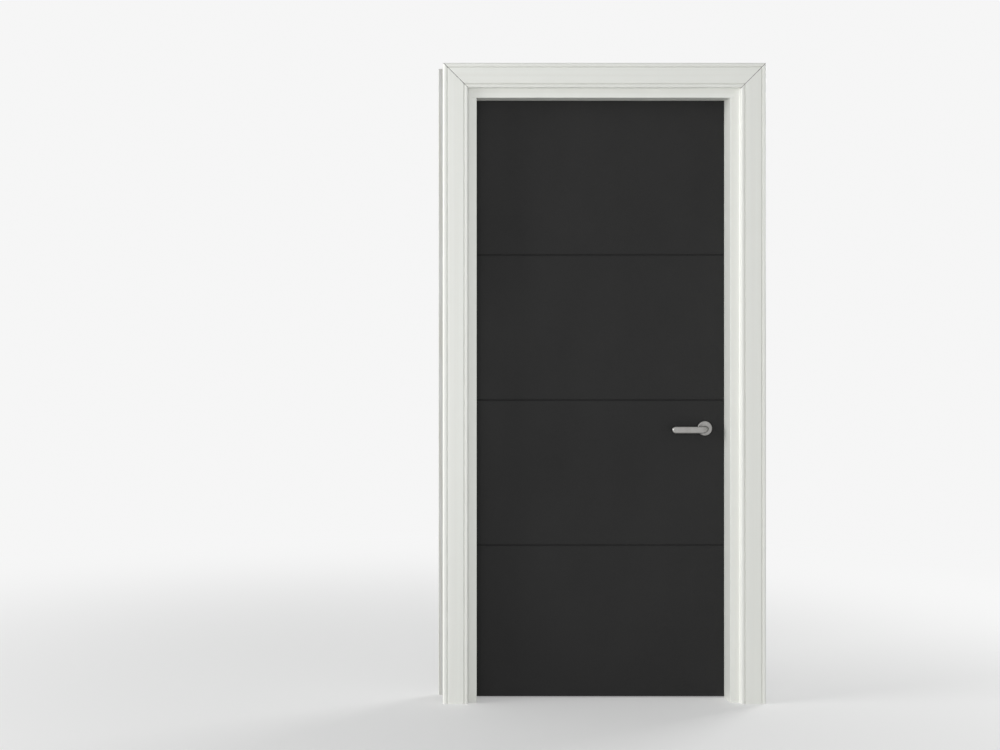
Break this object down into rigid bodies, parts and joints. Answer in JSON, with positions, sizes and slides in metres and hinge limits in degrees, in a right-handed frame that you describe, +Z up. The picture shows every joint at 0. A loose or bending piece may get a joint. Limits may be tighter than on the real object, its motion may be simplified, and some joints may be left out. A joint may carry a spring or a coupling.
{
  "type": "interior door",
  "caption": "Flush grooved door leaf on butt hinges in a rebated frame with mitred architrave, lever handles and a spring latch.",
  "frame": {"origin": "on the finished floor, in the middle of the door's width and of its whole depth from the front architrave's face to the far lever", "axes": "+X to the right along the door as seen from the side it is pushed from, +Y away from that side, through the wall, +Z up"},
  "size_m": [1.114, 0.191, 2.212],
  "materials": {
    "lining_paint": "satin white paint on timber",
    "architrave_paint": "satin white paint on a timber moulding",
    "leaf_paint": "matt charcoal paint on fibreboard",
    "leaf_timber": "softwood, painted where it shows at the leaf's edges",
    "core_board": "raw chipboard",
    "satin_nickel": "satin nickel",
    "hinge_steel": "satin steel",
    "screw_steel": "zinc-plated steel",
    "case_steel": "galvanised pressed steel",
    "spring_steel": "spring steel",
    "rose_plastic": "moulded black nylon"
  },
  "bodies": {
    "frame": {"architrave_back_head": "architrave_paint", "architrave_back_left": "architrave_paint", "architrave_back_right": "architrave_paint", "architrave_front_head": "architrave_paint", "architrave_front_left": "architrave_paint", "architrave_front_right": "architrave_paint", "dust_box": "rose_plastic", "head_screws": "screw_steel", "hinge_frame_screws": "screw_steel", "hinge_low_frame_plate": "hinge_steel", "hinge_low_pin": "hinge_steel", "hinge_mid_frame_plate": "hinge_steel", "hinge_mid_pin": "hinge_steel", "hinge_top_frame_plate": "hinge_steel", "hinge_top_pin": "hinge_steel", "lining_head": "lining_paint", "lining_leg_hinge": "lining_paint", "lining_leg_lock": "lining_paint", "strike_plate": "satin_nickel", "strike_screws": "screw_steel"},
    "leaf": {"core": "core_board", "facing_back": "leaf_paint", "facing_front": "leaf_paint", "forend_screws": "screw_steel", "hinge_leaf_screws": "screw_steel", "hinge_low_leaf_plate": "hinge_steel", "hinge_mid_leaf_plate": "hinge_steel", "hinge_top_leaf_plate": "hinge_steel", "latch_case": "case_steel", "latch_cover": "case_steel", "latch_forend": "satin_nickel", "latch_spring": "spring_steel", "lock_block": "leaf_timber", "rail_bottom": "leaf_timber", "rail_top": "leaf_timber", "return_spring_back": "spring_steel", "return_spring_front": "spring_steel", "rose_base_back": "rose_plastic", "rose_base_front": "rose_plastic", "rose_bolt_sleeves": "satin_nickel", "rose_bolts": "satin_nickel", "rose_cover_back": "satin_nickel", "rose_cover_front": "satin_nickel", "stile_hinge": "leaf_timber", "stile_lock": "leaf_timber"},
    "handle": {"lever_front": "satin_nickel", "lever_back": "satin_nickel", "spindle": "satin_nickel", "latch_follower": "satin_nickel", "grub_screws": "screw_steel"},
    "bolt": {"latch_bolt": "satin_nickel"}
  },
  "joints": [
    {"name": "door_swing", "type": "hinge", "parent": "frame", "child": "leaf", "pos_m": [-0.4515, 0.052, 0], "axis": [0, 0, 1], "range_deg": [0, 120]},
    {"name": "lever_turn", "type": "hinge", "parent": "leaf", "child": "handle", "pos_m": [0.37, 0.0255, 0.945], "axis": [0, -1, 0], "range_deg": [0, 40], "stiffness_Nm_per_rad": 1.2, "springref_deg": -40.11},
    {"name": "latch_slide", "type": "slide", "parent": "leaf", "child": "bolt", "axis": [-1, 0, 0], "range_m": [0, 0.0121], "deforming": ["latch_spring"]}
  ],
  "couplings": [
    {"joint": "latch_slide", "follows": "lever_turn", "m_per_rad": 0.017189}
  ]
}
